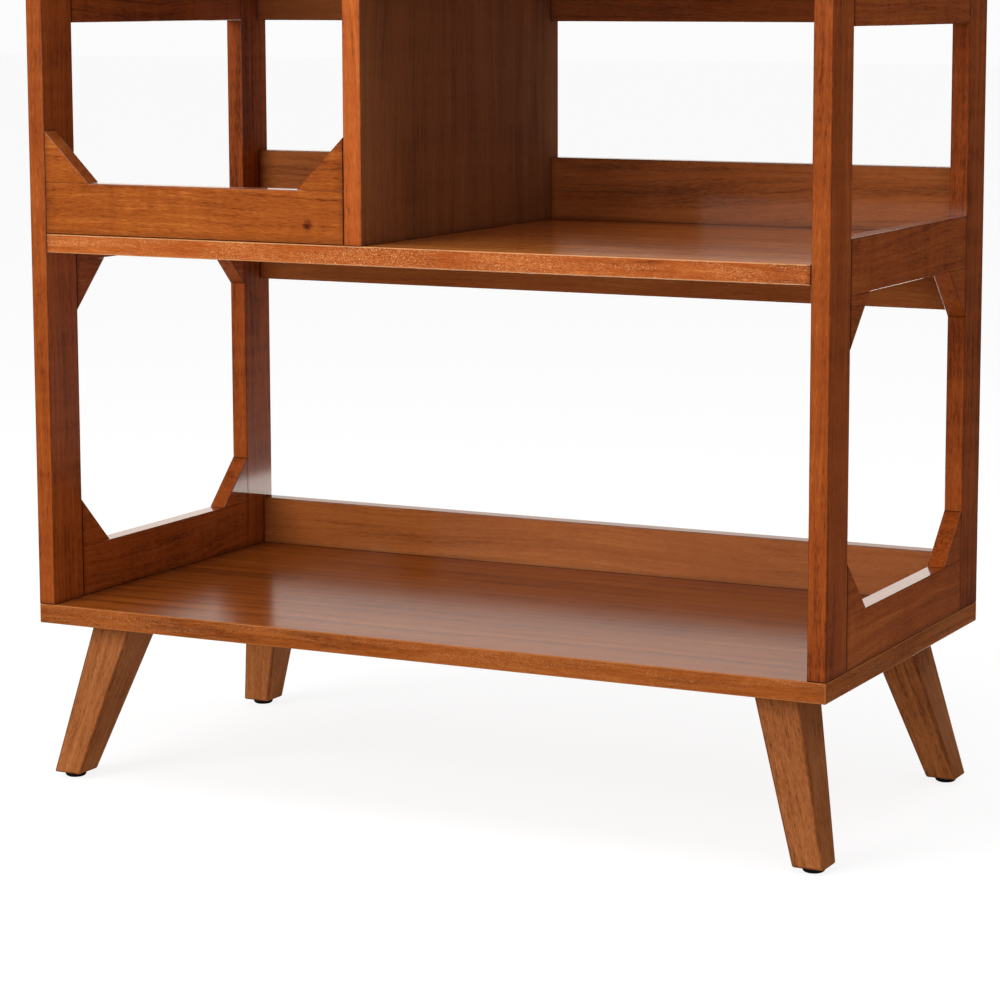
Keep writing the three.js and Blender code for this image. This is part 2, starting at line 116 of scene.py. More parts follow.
def lay_grain(piece, along, across, lipped=False):
    """Gives every corner its place in the wood: along the grain, across it and through it.

    Each piece is cut from another part of the log. A lipped panel has a strip of long grain round its edges,
    cut from a place of its own.
    """
    log = random.Random(piece.name)
    cuts = [Vector([log.uniform(-LOG_SPAN, LOG_SPAN) for _ in range(3)]) for _ in range(2)]
    through = along.cross(across)
    mesh = piece.data
    grain = mesh.attributes.new("grain", "FLOAT_VECTOR", "CORNER")
    for face in mesh.polygons:
        axes = (along, across, through)
        on_edge = lipped and abs(face.normal.dot(through)) < SIDEWAYS
        if on_edge and abs(face.normal.dot(along)) > SIDEWAYS:
            axes = (across, through, along)
        for corner in face.loop_indices:
            place = mesh.vertices[mesh.loops[corner].vertex_index].co
            grain.data[corner].vector = cuts[on_edge] + Vector([place.dot(axis) for axis in axes])


def mark_joints(piece, sides):
    """Notes where the piece meets its neighbours, such as "z-" for its lower end. Stain gathers there in a
    fine dark line, and painted shade darkens the wood round it.
    """
    places = [corner.co for corner in piece.data.vertices]
    for name, sign, end, free in (("joint_low", "-", min, -FAR), ("joint_high", "+", max, FAR)):
        limit = [
            end(place[i] for place in places) if way + sign in sides else free
            for i, way in enumerate("xyz")
        ]
        joint = piece.data.attributes.new(name, "FLOAT_VECTOR", "POINT")
        for point in joint.data:
            point.vector = limit


def dress(piece, node, finish, joints="", lipping=None, through="z"):
    """Finishes a piece and lets it stand for its CAD node.

    `through` is the way through a lipped panel's thickness. Faces that look another way take the lipping.
    """
    mark_joints(piece, joints)
    piece.data.materials.clear()
    piece.data.materials.append(finish)
    if lipping:
        piece.data.materials.append(lipping)
        for face in piece.data.polygons:
            face.material_index = abs(face.normal.dot(ALONG[through])) < SIDEWAYS
    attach(piece, "root")
    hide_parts(node)


class Reading:
    """A number, colour or vector that nodes give, with arithmetic for the numbers."""

    def __init__(self, nodes, socket):
        self.nodes = nodes
        self.socket = socket

    def maths(self, operation, *terms):
        return self.nodes.add("Math", {"operation": operation}, dict(enumerate(terms)))

    def __add__(self, other):
        return self.maths("ADD", self, other)

    def __radd__(self, other):
        return self.maths("ADD", other, self)

    def __sub__(self, other):
        return self.maths("SUBTRACT", self, other)

    def __rsub__(self, other):
        return self.maths("SUBTRACT", other, self)

    def __mul__(self, other):
        return self.maths("MULTIPLY", self, other)

    def __rmul__(self, other):
        return self.maths("MULTIPLY", other, self)

    def least(self, other):
        return self.maths("MINIMUM", self, other)


class Nodes:
    """The nodes of one material, or of the world."""

    def __init__(self, owner):
        owner.use_nodes = True
        self.tree = owner.node_tree
        self.tree.nodes.clear()

    def add(self, kind, settings=None, sockets=None, out=0):
        """Adds a node: its settings first, then a value or a reading for each socket. Gives one output."""
        node = self.tree.nodes.new("ShaderNode" + kind)
        for name, value in (settings or {}).items():
            setattr(node, name, value)
        for name, value in (sockets or {}).items():
            if isinstance(value, Reading):
                self.tree.links.new(value.socket, node.inputs[name])
            else:
                node.inputs[name].default_value = value
        return Reading(self, node.outputs[out]) if node.outputs else node

    def vector(self, operation, first, second, out=0):
        return self.add("VectorMath", {"operation": operation}, {0: first, 1: second}, out)

    def noise(self, place, scale, detail=2, roughness=0.5, out=0):
        """Noise that repeats this often in a metre in each direction, such as along and across the grain."""
        scaled = self.vector("MULTIPLY", place, scale)
        sockets = {"Vector": scaled, "Scale": 1, "Detail": detail, "Roughness": roughness}
        return self.add("TexNoise", {}, sockets, out)

    def step(self, value, low, high):
        """0 below `low`, 1 above `high`, and smooth between."""
        return self.add("MapRange", {"interpolation_type": "SMOOTHSTEP"}, {0: value, 1: low, 2: high})

    def mix(self, share, first, second):
        return self.add("Mix", {"data_type": "RGBA"}, {0: share, 6: first, 7: second}, out=2)

    def bump(self, height, strength, depth):
        return self.add("Bump", {}, {"Strength": strength, "Distance": depth, "Height": height})

    def surface(self, **sockets):
        """The finished surface. Each socket is named with _ for its spaces."""
        named = {name.replace("_", " "): value for name, value in sockets.items()}
        self.add("OutputMaterial", {}, {"Surface": self.add("BsdfPrincipled", {}, named)})


def colour(red, green, blue):
    """A colour as a picture shows it, from 0 to 255, as the linear one that nodes take."""
    return [((c / 255 + 0.055) / 1.055) ** 2.4 for c in (red, green, blue)] + [1]


def darker(tint, share):
    return [c * share for c in tint[:3]] + [1]


# How often each figure of the wood repeats in a metre, along the grain and twice across it
WANDER = (2.2, 7, 7)
STREAKS = (7, 260, 260)
SPECKLE = (120, 900, 900)
CLOUDS = (4, 16, 16)
BOARD_TONE = (0.6, 0.6, 0.6)
BARS = (45, 6, 6)
PORES = (110, 1500, 1500)
FLECKS = (600, 1900, 1900)
FLECK_PATCHES = (9, 90, 90)
UNEVENNESS = (60, 60, 60)

# Where each of them begins to show and is full, on the scale from 0 to 1 of its noise or of the tone
BODY_TONES = (0.2, 0.55)
PALE_TONES = (0.5, 0.9)
PORE_LIMITS = (0.54, 0.72)
FLECK_LIMITS = (0.52, 0.66)
PATCH_LIMITS = (0.36, 0.6)
UNEVEN_LIMITS = (0.25, 0.6)

# How strongly they show in the tone
STREAK_STRENGTH, STREAK_PER_SPECKLE = 0.35, 0.6
CLOUD_STRENGTH = 0.4
BOARD_STRENGTH = 0.3
KNOT_STRENGTH = 0.25

WANDER_WIDTH = 0.05  # how far the grain wanders sideways
KNOT_BEND = 2  # growth rings by which a knot pushes the figure aside
HEART_START, HEART_END = 0.1, 0.25  # where a knot's dark heart fades, as shares of the knot's radius
HEART_SHADE = 0.8
GATHERED_STAIN_AND_SHADE = 0.22  # what stain that gathers, and painted shade near joints, leave of the deep colour
FLECK_COLOUR = colour(236, 170, 112)
PAINTED_ARRIS_LEAST, PAINTED_ARRIS_UNEVEN = 0.2, 0.4  # how much of the edge colour an arris has at least, and more in places: painted highlight on the boards and shelves, painted shade on the rest
PAINTED_JOINT_SHADE = (0.3, (0.0, 0.007))  # how dark painted shade makes the wood near a joint, and between which distances it fades
JOINT_LINE = (0.85, (0.0003, 0.0011))  # how dark the fine line of the joint itself is, where stain gathers, and between which distances it fades
STREAK_RELIEF, SPECKLE_RELIEF = 0.4, 0.3
STREAK_ROUGHNESS, PORE_ROUGHNESS = 0.12, 0.25
LACQUER = {"Coat_Roughness": 0.07, "Coat_IOR": 1.45}


def wandering(nodes, grain):
    """Grain that runs a little to and fro instead of dead straight."""
    wander = nodes.noise(grain, WANDER, out="Color")
    centred = nodes.vector("SUBTRACT", wander, (0.5, 0.5, 0.5))
    return nodes.vector("ADD", grain, nodes.vector("MULTIPLY", centred, (0, WANDER_WIDTH, WANDER_WIDTH)))


def knots_in(nodes, here, marks):
    """How much of a knot each place shows, and how much of a knot's dark heart."""
    knots = hearts = 0
    for place, radius in marks:
        distance = nodes.vector("DISTANCE", here, place, out="Value")
        knots = knots + (1 - nodes.step(distance, HEART_START * radius, radius))
        hearts = hearts + (1 - nodes.step(distance, HEART_START * radius, HEART_END * radius))
    return knots, hearts


def from_joint(nodes, here):
    """How far each place is from the nearest joint."""
    nearest = FAR
    for attribute, sign in (("joint_low", 1), ("joint_high", -1)):
        joint = nodes.add("Attribute", {"attribute_name": attribute}, out="Vector")
        gap = nodes.vector("MULTIPLY", nodes.vector("SUBTRACT", here, joint), (sign, sign, sign))
        for way in "XYZ":
            nearest = nodes.add("SeparateXYZ", {}, {0: gap}, out=way).least(nearest)
    return nearest


def wood(
    name,
    deep,
    body,
    pale,
    edge,
    figure,
    ring,
    pore,
    bars,
    gloss,
    coat,
    speckled=0.55,
    fleck=0,
    mirroring=0.04,
    marks=(),
):
    """Stained and lacquered wood, with `edge` the colour painted on its arrises: a painted highlight where it
    is paler than the wood, painted shade where it is darker.

    `figure`, `pore`, `bars`, `speckled` and `fleck` say how strongly its growth rings, its dark pores, the
    bars of light across its grain, its fine speckle and its pale flecks show. `ring` is the usual width of a
    growth ring, `gloss` the roughness under the lacquer and `mirroring` how strongly it mirrors. Each mark is
    a small knot: its place and its radius.
    """
    material = bpy.data.materials.new(name)
    nodes = Nodes(material)
    here = nodes.add("TexCoord", out="Object")
    grain = nodes.add("Attribute", {"attribute_name": "grain"}, out="Vector")
    bent = wandering(nodes, grain)
    knots, hearts = knots_in(nodes, here, marks)

    # Growth rings cut lengthwise, fine streaks, slow changes of tone and the bars across the grain
    across = nodes.add("SeparateXYZ", {}, {0: bent}, out="Y")
    rings = nodes.add(
        "TexNoise",
        {"noise_dimensions": "1D"},
        {"W": across * (1 / ring) + knots * KNOT_BEND, "Scale": 1, "Detail": 3, "Roughness": 0.6},
    )
    streaks = nodes.noise(bent, STREAKS, detail=4, roughness=0.65)
    speckle = nodes.noise(bent, SPECKLE, roughness=0.6)
    clouds = nodes.noise(grain, CLOUDS)
    board_tone = nodes.noise(grain, BOARD_TONE, detail=0)
    bar = nodes.noise(bent, BARS, roughness=0.6)
    tone = (
        0.5
        + (rings - 0.5) * figure
        + (streaks - 0.5) * (STREAK_STRENGTH + STREAK_PER_SPECKLE * speckled)
        + (speckle - 0.5) * speckled
        + (clouds - 0.5) * CLOUD_STRENGTH
        + (board_tone - 0.5) * BOARD_STRENGTH
        + (bar - 0.5) * bars
        - knots * KNOT_STRENGTH
    )
    stained = nodes.mix(nodes.step(tone, *BODY_TONES), deep, body)
    stained = nodes.mix(nodes.step(tone, *PALE_TONES), stained, pale)

    # Open pores, dark with stain, the dark hearts of knots, and pale flecks in patches
    gathered_stain_and_shade = darker(deep, GATHERED_STAIN_AND_SHADE)
    pores = nodes.step(nodes.noise(bent, PORES, roughness=0.6), *PORE_LIMITS)
    stained = nodes.mix(pores * pore, stained, gathered_stain_and_shade)
    if marks:
        stained = nodes.mix(hearts * HEART_SHADE, stained, gathered_stain_and_shade)
    if fleck:
        flecks = nodes.step(nodes.noise(bent, FLECKS, roughness=0.55), *FLECK_LIMITS)
        patches = nodes.step(nodes.noise(bent, FLECK_PATCHES), *PATCH_LIMITS)
        stained = nodes.mix(flecks * patches * fleck, stained, FLECK_COLOUR)

    # Arrises take the edge colour unevenly: a painted highlight on the boards and shelves, painted shade on
    # the rest.
    arris = nodes.add("Attribute", {"attribute_name": "arris"}, out="Fac")
    uneven = nodes.step(nodes.noise(grain, UNEVENNESS), *UNEVEN_LIMITS)
    stained = nodes.mix(arris * (PAINTED_ARRIS_LEAST + PAINTED_ARRIS_UNEVEN * uneven), stained, edge)
    # Stain gathers at the joints in a fine dark line, and painted shade darkens the wood round them.
    distance = from_joint(nodes, here)
    for share, fading in (PAINTED_JOINT_SHADE, JOINT_LINE):
        stained = nodes.mix((1 - nodes.step(distance, *fading)) * share, stained, gathered_stain_and_shade)

    relief = streaks * STREAK_RELIEF + speckle * SPECKLE_RELIEF - pores * pore
    nodes.surface(
        Base_Color=stained,
        Roughness=gloss + (streaks - 0.5) * STREAK_ROUGHNESS + pores * (PORE_ROUGHNESS * pore),
        Normal=nodes.bump(relief, strength=0.15, depth=0.0003),
        Specular_IOR_Level=mirroring,
        Coat_Weight=coat,
        **LACQUER,
    )
    return material


board_veneer = wood(
    "board_veneer",
    deep=colour(102, 48, 16),
    body=colour(158, 83, 28),
    pale=colour(192, 114, 52),
    # painted highlight on the arrises
    edge=colour(184, 116, 62),
    figure=0.5,
    ring=0.014,
    pore=0.3,
    bars=0.12,
    gloss=0.17,
    coat=0.0,
    speckled=0.1,
    mirroring=0.026,
)
board_lipping = wood(
    "board_lipping",
    deep=colour(100, 46, 16),
    body=colour(152, 78, 29),
    pale=colour(184, 106, 50),
    # painted highlight on the arrises
    edge=colour(190, 120, 66),
    figure=0.3,
    ring=0.006,
    pore=0.3,
    bars=0.1,
    gloss=0.34,
    coat=0.1,
    speckled=0.5,
    fleck=0.32,
)

FRONT, BACK = -0.206, 0.206
LEFT, RIGHT = -0.415, 0.415
BOARD_Z = (0.159, 0.178)
BOARD_ARRIS = 0.001

bottom_board = add_block("bottom_board_wood", (LEFT, RIGHT), (FRONT, BACK), BOARD_Z)
ease(bottom_board, BOARD_ARRIS, every)
lay_grain(bottom_board, ALONG["x"], ALONG["y"], lipped=True)
dress(bottom_board, "bottom_board", board_veneer, lipping=board_lipping)


# ---- Side frames ----
# Two tenoned frames of solid wood. Their stiles and rails are 50 mm wide and 18 mm thick, and the upper rail
# is a deep apron. Four corner blocks, glued in and sanded flush, make the lower window an octagon.

frame_wood = wood(
    "frame_wood",
    deep=colour(94, 38, 12),
    body=colour(151, 71, 24),
    pale=colour(184, 98, 40),
    # painted shade on the arrises
    edge=colour(84, 34, 12),
    figure=0.3,
    ring=0.008,
    pore=0.3,
    bars=0.32,
    gloss=0.42,
    coat=0.8,
)

FRAME_STOCK = 0.018
STILE_WIDTH = 0.05
JOINT = 0.0003  # the fine gap of a joint that shows
UNDER_TOP = 0.921  # height of the top board's underside
STILES = {"front": (FRONT, FRONT + STILE_WIDTH), "rear": (BACK - STILE_WIDTH, BACK)}
STILE_Z = (BOARD_Z[1] + JOINT, UNDER_TOP - JOINT)
RAIL_Y = (STILES["front"][1] + JOINT, STILES["rear"][0] - JOINT)
RAILS = {"bottom": (STILE_Z[0], 0.228), "middle": (0.5135, 0.5635), "upper": (0.7465, STILE_Z[1])}
BLOCK = 0.048
BETWEEN_BLOCKS = (STILES["front"][1] + BLOCK, STILES["rear"][0] - BLOCK)
ARRIS = 0.0009
HAIR = 1e-5  # what is nearer than this is at the same place
PARALLEL = 0.999  # the least cosine of two lines that run the same way


def runs(corners, way):
    """Whether an edge with these two corners runs along a direction."""
    return abs((corners[1] - corners[0]).normalized().dot(ALONG[way])) > PARALLEL


def cut_at(piece, way, place):
    """Saws a line round the piece, so that an arris can be eased on one side of it alone."""
    select("FACE", piece, every)
    bpy.ops.mesh.bisect(plane_co=ALONG[way] * place, plane_no=ALONG[way])
    bpy.ops.object.mode_set(mode="OBJECT")


def corner_block(name, x, y, z, corner):
    """A block sawn from corner to corner, with the arrises of its slope eased. `corner` is its square one."""
    block = add_block(name, x, y, z)
    middle = Vector([middle_of(limits) for limits in (x, y, z)])
    slope = (middle - Vector(corner)).normalized()
    select("FACE", block, every)
    bpy.ops.mesh.bisect(plane_co=middle, plane_no=slope, use_fill=True, clear_outer=True)
    bpy.ops.object.mode_set(mode="OBJECT")

    def long_on_slope(corners):
        on_slope = all(abs((corner - middle).dot(slope)) < HAIR for corner in corners)
        return on_slope and (corners[1] - corners[0]).length > FRAME_STOCK + HAIR

    ease(block, ARRIS, long_on_slope)
    return block


def open_arrises(way, free, blocked):
    """Picks the long edges of a rail that lie open.

    At the height where its blocks sit, `blocked`, these are the stretches between the `free` limits.
    """

    def chosen(corners):
        between = all(free[0] - HAIR < corner.dot(ALONG[way]) < free[1] + HAIR for corner in corners)
        return runs(corners, way) and (between or abs(corners[0].z - blocked) > HAIR)

    return chosen


for side, outwards in (("left", -1), ("right", 1)):
    frame_x = sorted((outwards * RIGHT, outwards * (RIGHT - FRAME_STOCK)))
    for end, y in STILES.items():
        name = f"{side}_{end}_stile"
        stile = add_block(name + "_wood", frame_x, y, STILE_Z)
        ease(stile, ARRIS, lambda corners: runs(corners, "z"))
        lay_grain(stile, ALONG["z"], ALONG["y"])
        dress(stile, name, frame_wood, joints="z- z+")

    for level, z in RAILS.items():
        name = f"{side}_{level}_rail"
        rail = add_block(name + "_wood", frame_x, RAIL_Y, z)
        blocked = {"bottom": z[1], "middle": z[0], "upper": FAR}[level]
        if blocked != FAR:
            for place in BETWEEN_BLOCKS:
                cut_at(rail, "y", place)
        ease(rail, ARRIS, open_arrises("y", BETWEEN_BLOCKS, blocked))
        lay_grain(rail, ALONG["y"], ALONG["z"])
        joints = {"bottom": "y- y+ z-", "middle": "y- y+", "upper": "y- y+ z+"}[level]
        dress(rail, name, frame_wood, joints)

    for end, edge, inwards in (("front", STILES["front"][1], 1), ("rear", STILES["rear"][0], -1)):
        y = sorted((edge + inwards * JOINT, edge + inwards * BLOCK))
        for height, joint, up in (("low", RAILS["bottom"][1], 1), ("high", RAILS["middle"][0], -1)):
            name = f"{side}_block_{end}_{height}"
            z = sorted((joint + up * JOINT, joint + up * BLOCK))
            square = (middle_of(frame_x), edge + inwards * JOINT, joint + up * JOINT)
            block = corner_block(name + "_wood", frame_x, y, z, square)
            lay_grain(block, ALONG["y"], ALONG["z"])
            dress(block, name, frame_wood, joints="y-" if end == "front" else "y+")


# ---- Middle shelf, cubby shelf and top board ----
# Veneered panels with lipped edges. The two shelves sit between the side frames, and the middle one is bored
# from below for the cam locks. The top board lies on the frames like the bottom board's twin.

# The shelves' veneer is the board veneer painted lighter: painted light on the shelf tops, standing in for
# the light that the boards above keep off them.
shelf_veneer = wood(
    "shelf_veneer",
    deep=colour(134, 70, 27),
    body=colour(208, 125, 56),
    pale=colour(229, 156, 90),
    # painted highlight on the arrises
    edge=colour(224, 166, 114),
    figure=0.5,
    ring=0.014,
    pore=0.3,
    bars=0.1,
    gloss=0.15,
    coat=0.1,
    speckled=0.1,
    mirroring=0.055,
)
shelf_lipping = wood(
    "shelf_lipping",
    deep=colour(112, 46, 18),
    body=colour(170, 82, 30),
    pale=colour(202, 118, 56),
    # painted highlight on the arrises
    edge=colour(230, 172, 118),
    figure=0.45,
    ring=0.005,
    pore=0.3,
    bars=0.1,
    gloss=0.34,
    coat=0.1,
    speckled=0.6,
    fleck=0.75,
)

DIVIDER_X = (-0.065, -0.046)
SHELF_X = (LEFT + FRAME_STOCK + JOINT, RIGHT - FRAME_STOCK - JOINT)
SHELF_Z = (0.526, 0.544)
CUBBY_X = (DIVIDER_X[1] + JOINT, SHELF_X[1])
CUBBY_Y = (FRONT, BACK - FRAME_STOCK - JOINT)
CUBBY_Z = (0.7725, 0.7905)
TOP_Z = (UNDER_TOP, 0.94)
CAM_X, CAM_Y = 0.363, 0.179
CAM_BORE = 0.0076
CAM_DEPTH = 0.0132
ROUND = 40  # sides of a turned piece or a bore

middle_shelf = add_block("middle_shelf_wood", SHELF_X, (FRONT, BACK), SHELF_Z)
ease(middle_shelf, BOARD_ARRIS, lambda corners: runs(corners, "x"))
for x in (-CAM_X, CAM_X):
    for y in (-CAM_Y, CAM_Y):
        bpy.ops.object.select_all(action="DESELECT")
        bpy.ops.mesh.primitive_cylinder_add(
            vertices=ROUND, radius=CAM_BORE, depth=2 * CAM_DEPTH, location=(x, y, SHELF_Z[0])
        )
        drill = bpy.context.object
        bore = middle_shelf.modifiers.new("bore", "BOOLEAN")
        bore.object = drill
        bpy.context.view_layer.objects.active = middle_shelf
        bpy.ops.object.modifier_apply(modifier=bore.name)
        bpy.data.objects.remove(drill)
lay_grain(middle_shelf, ALONG["x"], ALONG["y"], lipped=True)
dress(middle_shelf, "middle_shelf", shelf_veneer, joints="x- x+", lipping=shelf_lipping)

cubby_shelf = add_block("cubby_shelf_wood", CUBBY_X, CUBBY_Y, CUBBY_Z)
ease(cubby_shelf, BOARD_ARRIS, lambda corners: runs(corners, "x"))
lay_grain(cubby_shelf, ALONG["x"], ALONG["y"], lipped=True)
dress(cubby_shelf, "cubby_shelf", shelf_veneer, joints="x- x+", lipping=shelf_lipping)

top_board = add_block("top_board_wood", (LEFT, RIGHT), (FRONT, BACK), TOP_Z)
ease(top_board, BOARD_ARRIS, every)
lay_grain(top_board, ALONG["x"], ALONG["y"], lipped=True)
dress(top_board, "top_board", board_veneer, lipping=board_lipping)


# ---- Centre divider ----
# An upright veneered panel with a solid lipping in front, housed in the middle shelf and the top board. It
# closes the bin on the right and carries the cubby shelf.

divider_veneer = wood(
    "divider_veneer",
    deep=colour(84, 46, 24),
    body=colour(130, 78, 44),
    pale=colour(154, 98, 58),
    # painted shade on the arrises
    edge=colour(90, 46, 22),
    figure=0.35,
    ring=0.02,
    pore=0.25,
    bars=0.2,
    gloss=0.4,
    coat=0.4,
    speckled=0.3,
)
divider_lipping = wood(
    "divider_lipping",
    deep=colour(122, 54, 20),
    body=colour(180, 88, 34),
    pale=colour(206, 118, 54),
    # painted shade on the arrises
    edge=colour(96, 40, 16),
    figure=0.3,
    ring=0.008,
    pore=0.2,
    bars=0.3,
    gloss=0.4,
    coat=0.4,
)

divider = add_block("centre_divider_wood", DIVIDER_X, (FRONT, BACK), (SHELF_Z[1], UNDER_TOP))
ease(divider, ARRIS, lambda corners: runs(corners, "z"))
lay_grain(divider, ALONG["z"], ALONG["y"])
dress(
    divider,
    "centre_divider",
    divider_veneer,
    joints="z- z+",
    lipping=divider_lipping,
    through="x",
)


# ---- Bin front ----
# A low sill between the left frame and the divider, with a corner block at each end, and two more blocks
# under the top board. The blocks are glued on and sanded flush, so their joints hardly show.

bin_wood = wood(
    "bin_wood",
    deep=colour(98, 41, 12),
    body=colour(158, 78, 24),
    pale=colour(194, 110, 44),
    # painted shade on the arrises
    edge=colour(112, 52, 20),
    figure=0.35,
    ring=0.009,
    pore=0.5,
    bars=0.3,
    gloss=0.38,
    coat=0.5,
    marks=[((-0.104, FRONT, 0.561), 0.008)],
)

BIN_X = (LEFT + FRAME_STOCK, DIVIDER_X[0])
BIN_Y = (FRONT, FRONT + FRAME_STOCK)
BIN_BLOCK = 0.05
SILL_X = (BIN_X[0] + JOINT, BIN_X[1] - JOINT)
SILL_Z = (SHELF_Z[1] + JOINT, 0.594)
SILL_FREE = (BIN_X[0] + BIN_BLOCK, BIN_X[1] - BIN_BLOCK)

sill = add_block("bin_sill_wood", SILL_X, BIN_Y, SILL_Z)
for place in SILL_FREE:
    cut_at(sill, "x", place)
ease(sill, ARRIS, open_arrises("x", SILL_FREE, blocked=SILL_Z[1]))
lay_grain(sill, ALONG["x"], ALONG["z"])
dress(sill, "bin_sill", bin_wood, joints="x- x+ z-")

for height, joint, up in (("low", SILL_Z[1], 1), ("high", UNDER_TOP, -1)):
    for end, edge, inwards in (("left", BIN_X[0], 1), ("right", BIN_X[1], -1)):
        name = f"bin_block_{end}_{height}"
        x = sorted((edge + inwards * JOINT, edge + inwards * BIN_BLOCK))
        z = sorted((joint + up * JOINT, joint + up * BIN_BLOCK))
        square = (edge + inwards * JOINT, middle_of(BIN_Y), joint + up * JOINT)
        block = corner_block(name + "_wood", x, BIN_Y, z, square)
        lay_grain(block, ALONG["x"], ALONG["z"])
        dress(block, name, bin_wood, joints="x-" if end == "left" else "x+")


# ---- Back rails ----
# Solid rails let into the frames and the divider at the back, and tongued into the boards that they touch.
# They hold the stand square, keep things from sliding out, and leave the rest of the back open.

# Plainer than the frames' wood, and painted lighter: painted light on the rails, which stand in shade at the
# back.
rail_wood = wood(
    "rail_wood",
    deep=colour(114, 60, 26),
    body=colour(166, 94, 44),
    pale=colour(192, 120, 62),
    # painted shade on the arrises
    edge=colour(70, 32, 12),
    figure=0.35,
    ring=0.02,
    pore=0.2,
    bars=0.1,
    gloss=0.4,
    coat=0.4,
    speckled=0.4,
)

BACK_RAIL_Y = (BACK - FRAME_STOCK, BACK)
BIN_SPAN = (SHELF_X[0], DIVIDER_X[0] - JOINT)
BAY_SPAN = (DIVIDER_X[1] + JOINT, SHELF_X[1])
OVER_SHELF_Z = (SHELF_Z[1], 0.6075)
UPPER_RAIL_Z = (RAILS["upper"][0], 0.81)
BACK_RAILS = (
    # name, x, z, the side that is seated on a board
    ("back_rail_bottom", SHELF_X, (BOARD_Z[1], RAILS["bottom"][1]), "z-"),
    ("back_rail_under_shelf", SHELF_X, (0.4685, SHELF_Z[0]), "z+"),
    ("back_rail_bin", BIN_SPAN, OVER_SHELF_Z, "z-"),
    ("back_rail_bay", BAY_SPAN, OVER_SHELF_Z, "z-"),
    ("upper_back_rail_bin", BIN_SPAN, UPPER_RAIL_Z, ""),
    ("upper_back_rail_bay", BAY_SPAN, UPPER_RAIL_Z, ""),
)

for name, x, z, seated in BACK_RAILS:
    rail = add_block(name + "_wood", x, BACK_RAIL_Y, z)
    seat = {"z-": z[0], "z+": z[1], "": FAR}[seated]
    ease(rail, ARRIS, lambda corners: runs(corners, "x") and abs(corners[0].z - seat) > HAIR)
    lay_grain(rail, ALONG["x"], ALONG["z"])
    dress(rail, name, rail_wood, joints="x- x+ " + seated)


# ---- Legs ----
# Solid legs, sawn to a taper and splayed both ways, with their long edges rounded. Each is screwed up against
# the bottom board by a hanger bolt, so no fixing shows.

leg_wood = wood(
    "leg_wood",
    deep=colour(94, 49, 22),
    body=colour(156, 90, 46),
    pale=colour(188, 120, 68),
    # painted shade on the arrises
    edge=colour(92, 44, 18),
    figure=0.25,
    ring=0.006,
    pore=0.55,
    bars=0.2,
    gloss=0.45,
    coat=0.3,
    marks=[
        ((0.3885, -0.177, 0.055), 0.007),
        ((0.3655, 0.158, 0.1), 0.008),
        ((0.371, 0.151, 0.128), 0.005),
    ],
)

FOOT_X, FOOT_Y = (0.38, 0.4105), (0.1635, 0.1945)
LEG_TOP_X, LEG_TOP_Y = (0.331, 0.3745), (0.115, 0.171)
LEG_Z = (0.0055, 0.1587)
LEG_ARRIS = 0.0022
FOOT_ARRIS = 0.0018
CORNERS = {
    "front_left": (-1, -1),
    "front_right": (1, -1),
    "rear_left": (-1, 1),
    "rear_right": (1, 1),
}


def rear_right_leg():
    """A block as wide as the foot, whose upper end is then widened and moved to the leg's head."""
    leg = add_block("leg", FOOT_X, FOOT_Y, LEG_Z)
    foot = Vector((middle_of(FOOT_X), middle_of(FOOT_Y), LEG_Z[1]))
    head = Vector((middle_of(LEG_TOP_X), middle_of(LEG_TOP_Y), LEG_Z[1]))
    widening = (length_of(LEG_TOP_X) / length_of(FOOT_X), length_of(LEG_TOP_Y) / length_of(FOOT_Y), 1)
    select("FACE", leg, lambda corners: all(corner.z > LEG_Z[1] - HAIR for corner in corners))
    bpy.ops.transform.resize(value=widening, center_override=foot)
    bpy.ops.transform.translate(value=head - foot)
    bpy.ops.object.mode_set(mode="OBJECT")
    ease(leg, LEG_ARRIS, lambda corners: abs(corners[1].z - corners[0].z) > length_of(LEG_Z) / 2)
    ease(leg, FOOT_ARRIS, lambda corners: all(corner.z < LEG_Z[0] + HAIR for corner in corners))
    return leg


def copy_to(piece, name, signs):
    """A copy for another corner of the stand, mirrored in x or y, with its faces turned outwards again."""
    copy = piece.copy()
    copy.data = piece.data.copy()
    copy.name = name
    copy.data.name = name
    bpy.context.collection.objects.link(copy)
    bpy.ops.object.select_all(action="DESELECT")
    copy.select_set(True)
    select("FACE", copy, every)
    bpy.ops.transform.resize(value=(*signs, 1), center_override=(0, 0, 0))
    bpy.ops.mesh.normals_make_consistent(inside=False)
    bpy.ops.object.mode_set(mode="OBJECT")
    return copy


first_leg = rear_right_leg()
for corner, (right, rear) in CORNERS.items():
    leg = copy_to(first_leg, f"leg_{corner}_wood", (right, rear))
    lean = Vector(
        (
            right * (middle_of(LEG_TOP_X) - middle_of(FOOT_X)),
            rear * (middle_of(LEG_TOP_Y) - middle_of(FOOT_Y)),
            length_of(LEG_Z),
        )
    ).normalized()
    lay_grain(leg, lean, lean.cross(ALONG["y"]).normalized())
    # The joint at each leg's head gives the fine joint line and a painted shadow under the bottom board.
    dress(leg, f"leg_{corner}", leg_wood, joints="z+")
bpy.data.objects.remove(first_leg)


# ---- Glides ----
# A black domed button of hard plastic under each foot, moulded on a nail that is driven into the end grain.
# The wood stays clear of the floor, and the stand can be pushed about.

GLIDE_PROFILE = [
    # radius and height, from the floor up to the nail's tip
    (0.0071, 0.0),
    (0.0082, 0.0002),
    (0.0091, 0.0007),
    (0.0098, 0.0014),
    (0.0103, 0.0023),
    (0.0105, 0.0032),
    (0.0105, 0.0044),
    (0.0103, 0.0049),
    (0.0099, 0.0052),
    (0.0013, 0.0052),
    (0.0013, 0.0225),
    (0.0002, 0.0255),
]
SHARPEST_SMOOTH = math.radians(40)


